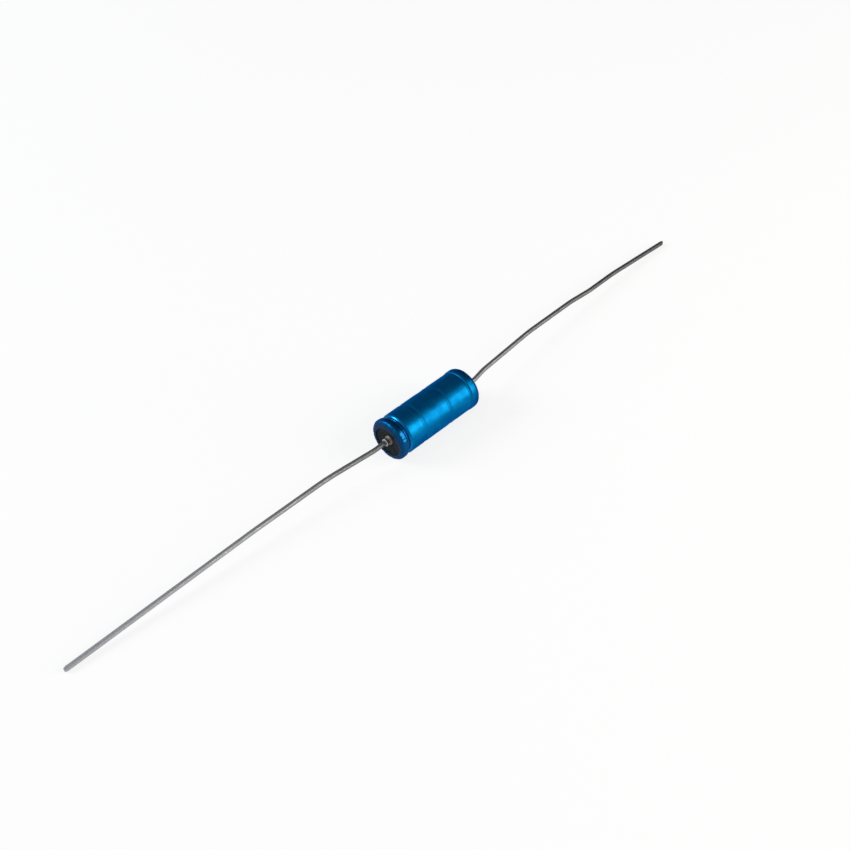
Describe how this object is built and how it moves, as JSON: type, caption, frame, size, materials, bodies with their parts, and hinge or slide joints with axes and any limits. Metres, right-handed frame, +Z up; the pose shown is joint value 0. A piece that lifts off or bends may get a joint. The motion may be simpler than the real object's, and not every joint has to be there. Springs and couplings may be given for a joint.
{
  "type": "axial capacitor",
  "caption": "Round axial electrolytic capacitor: beaded can in a glossy blue shrunk sleeve, dark seal at one end, and a gently bent tinned wire from each end.",
  "frame": {"origin": "on the surface it lies on, under the middle of its length", "axes": "+X along the body towards the closed base, -X towards the sealed end; +Z up; both wires bend slightly towards +Y"},
  "size_m": [0.1319, 0.007, 0.0071],
  "materials": {
    "blue_film": "glossy translucent blue film over bright metal",
    "bare_aluminium": "satin",
    "dark_rubber": "matt, dark brown-black",
    "hard_paper": "matt brown resin paper",
    "foil_tab": "dull foil",
    "foil_and_paper": "matt paper edge",
    "closing_tape": "satin film tape",
    "weld_metal": "dull, slightly rough",
    "tinned_wire": "drawn and tinned, soft shine"
  },
  "bodies": {
    "root": {"sleeve": "blue_film", "can": "bare_aluminium", "seal_rubber": "dark_rubber", "seal_disc": "hard_paper", "anode_rivet": "bare_aluminium", "rivet_washer": "bare_aluminium", "anode_tab": "foil_tab", "cathode_tab": "foil_tab", "winding": "foil_and_paper", "winding_tape": "closing_tape", "anode_weld": "weld_metal", "cathode_weld": "weld_metal", "anode_lead": "tinned_wire", "cathode_lead": "tinned_wire"}
  },
  "joints": []
}
